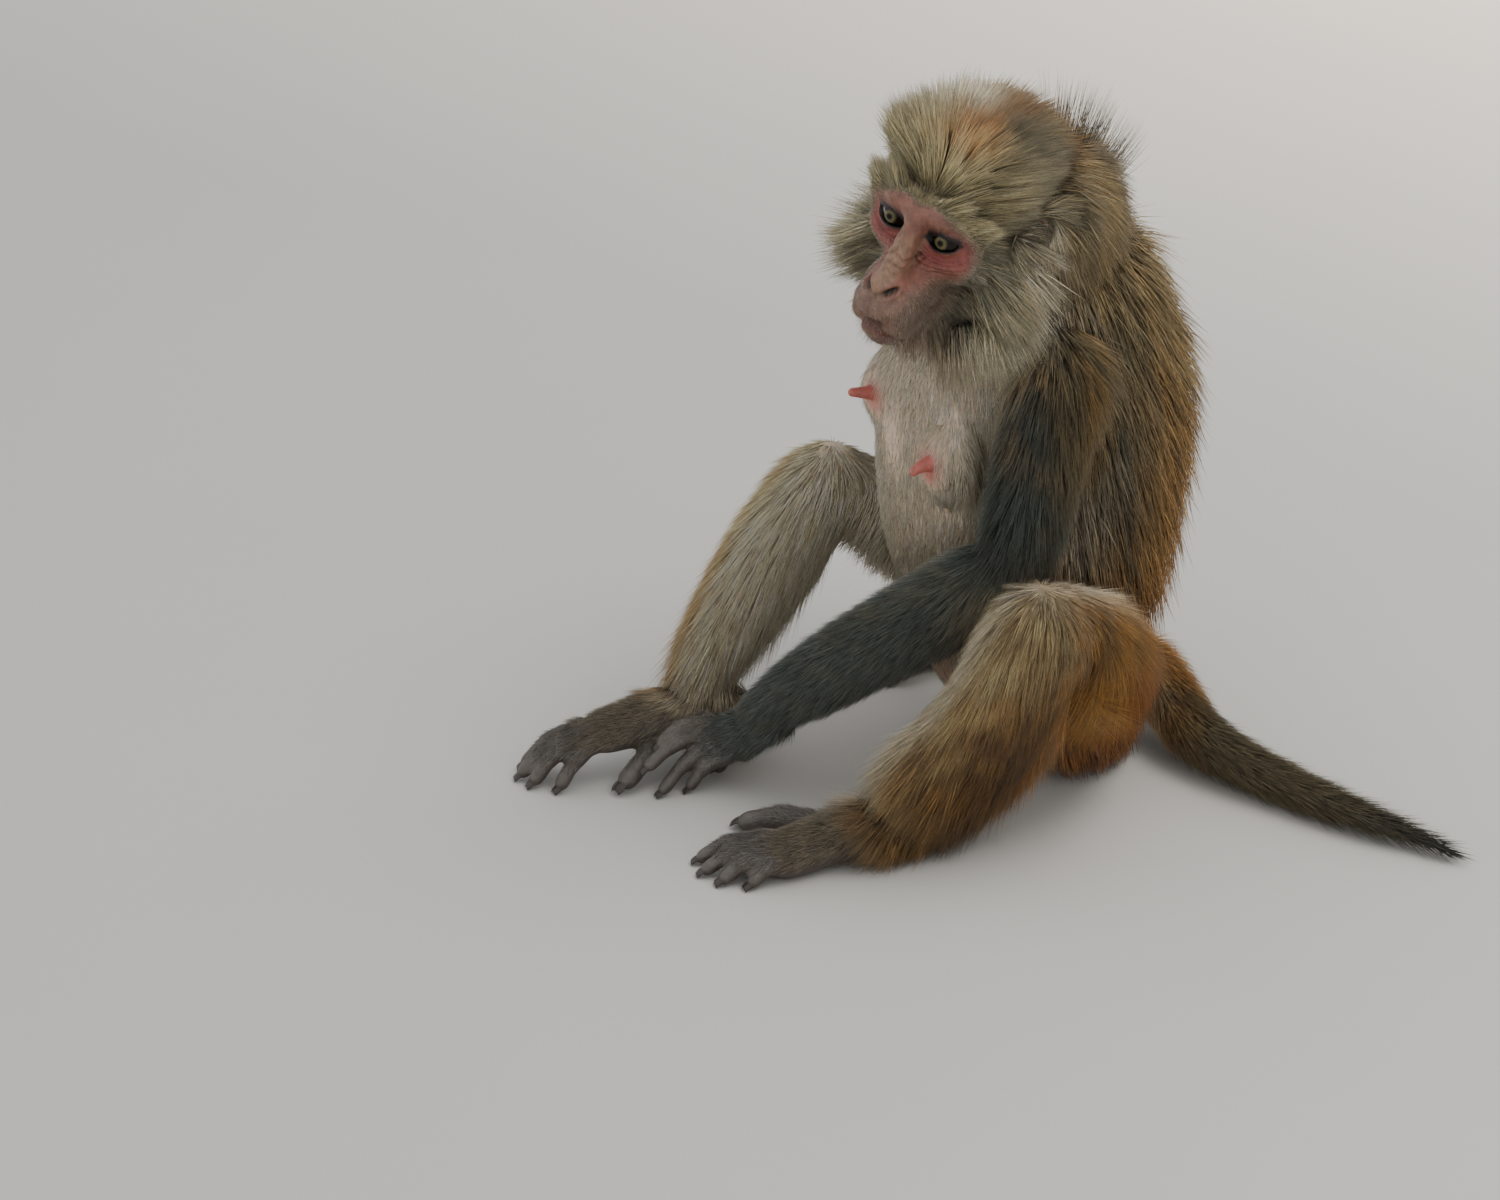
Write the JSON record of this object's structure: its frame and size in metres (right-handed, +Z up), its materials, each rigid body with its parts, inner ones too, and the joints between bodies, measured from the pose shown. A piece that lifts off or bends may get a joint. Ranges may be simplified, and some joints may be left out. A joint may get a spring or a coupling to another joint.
{
  "type": "monkey",
  "caption": "Seated rhesus macaque with head bowed, one arm reaching across the belly to the floor and the tail laid out.",
  "frame": {"origin": "on the floor under the pelvis, where the seat rests", "axes": "+Z up, +X to the animal's left, the animal faces -Y"},
  "size_m": [0.4025, 0.4109, 0.4174],
  "materials": {
    "eye": "wet eyeball with a dark iris and black pupil",
    "skin_face": "bare pinkish-red skin of the face and teats",
    "skin_dark": "grey-brown skin of hands and feet under very short hair",
    "fur_pale": "cream under-coat hair",
    "fur_grey": "grizzled grey-brown hair",
    "fur_gold": "golden-brown hair",
    "fur_rufous": "orange-rufous hair of the hind parts",
    "fur_slate": "dark slate-grey hair of the arms and tail tip"
  },
  "bodies": {
    "root": {"eye_left": "eye", "eye_right": "eye", "head": "fur_grey", "ear_left": "fur_pale", "ear_right": "fur_pale", "neck": "fur_grey", "chest": "fur_pale", "abdomen": "fur_pale", "rump": "fur_rufous", "teat_left": "skin_face", "teat_right": "skin_face", "tail_1": "fur_rufous", "tail_2": "fur_gold", "tail_3": "fur_slate", "upper_arm_left": "fur_slate", "upper_arm_right": "fur_slate", "hand_left": "skin_dark", "hand_right": "skin_dark", "forearm_left": "fur_slate", "forearm_right": "fur_slate", "thigh_left": "fur_gold", "thigh_right": "fur_gold", "foot_left": "skin_dark", "foot_right": "skin_dark", "shank_left": "fur_gold", "shank_right": "fur_gold"}
  },
  "joints": []
}
